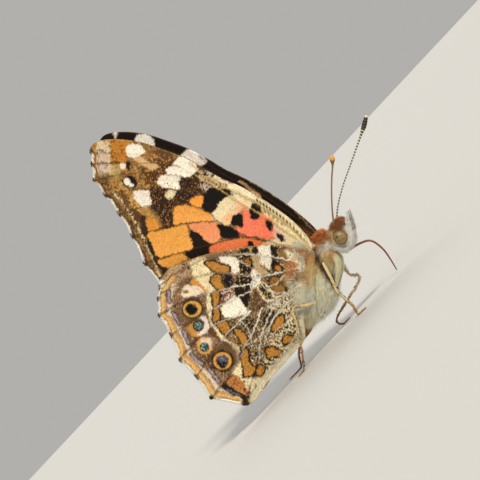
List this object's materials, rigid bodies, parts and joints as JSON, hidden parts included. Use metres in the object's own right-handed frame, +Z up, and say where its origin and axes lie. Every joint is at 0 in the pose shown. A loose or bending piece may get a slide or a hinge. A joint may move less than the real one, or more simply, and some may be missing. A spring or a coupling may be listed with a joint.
{
  "type": "painted lady butterfly",
  "caption": "Life-size painted lady butterfly standing at rest with its wings closed over its back, feelers forward and tongue reaching down.",
  "frame": {"origin": "on the floor, under the middle of the whole object's extent", "axes": "+X forward, toward the head; +Y to the animal's left; +Z up"},
  "size_m": [0.0392, 0.0152, 0.0388],
  "materials": {
    "hair": "soft hair and scales, pale grey-brown",
    "proboscis": "smooth horn-like tube, reddish brown",
    "antenna": "finely ringed, black and white, with an orange-brown club",
    "leg": "straw-coloured scales",
    "eye": "faceted, khaki, slightly glossy",
    "palp": "white scales and hair",
    "forewing": "scaled membrane, orange, black and white",
    "hindwing": "scaled membrane, marbled brown, cream and grey"
  },
  "bodies": {
    "root": {"head": "hair", "thorax": "hair", "abdomen": "hair", "proboscis": "proboscis", "antenna_right": "antenna", "antenna_left": "antenna", "leg_mid_right": "leg", "leg_mid_left": "leg", "leg_hind_right": "leg", "leg_hind_left": "leg", "eye_right": "eye", "eye_left": "eye", "palp_right": "palp", "palp_left": "palp", "leg_fore_right": "leg", "leg_fore_left": "leg", "forewing_right": "forewing", "forewing_left": "forewing", "hindwing_right": "hindwing", "hindwing_left": "hindwing"}
  },
  "joints": []
}
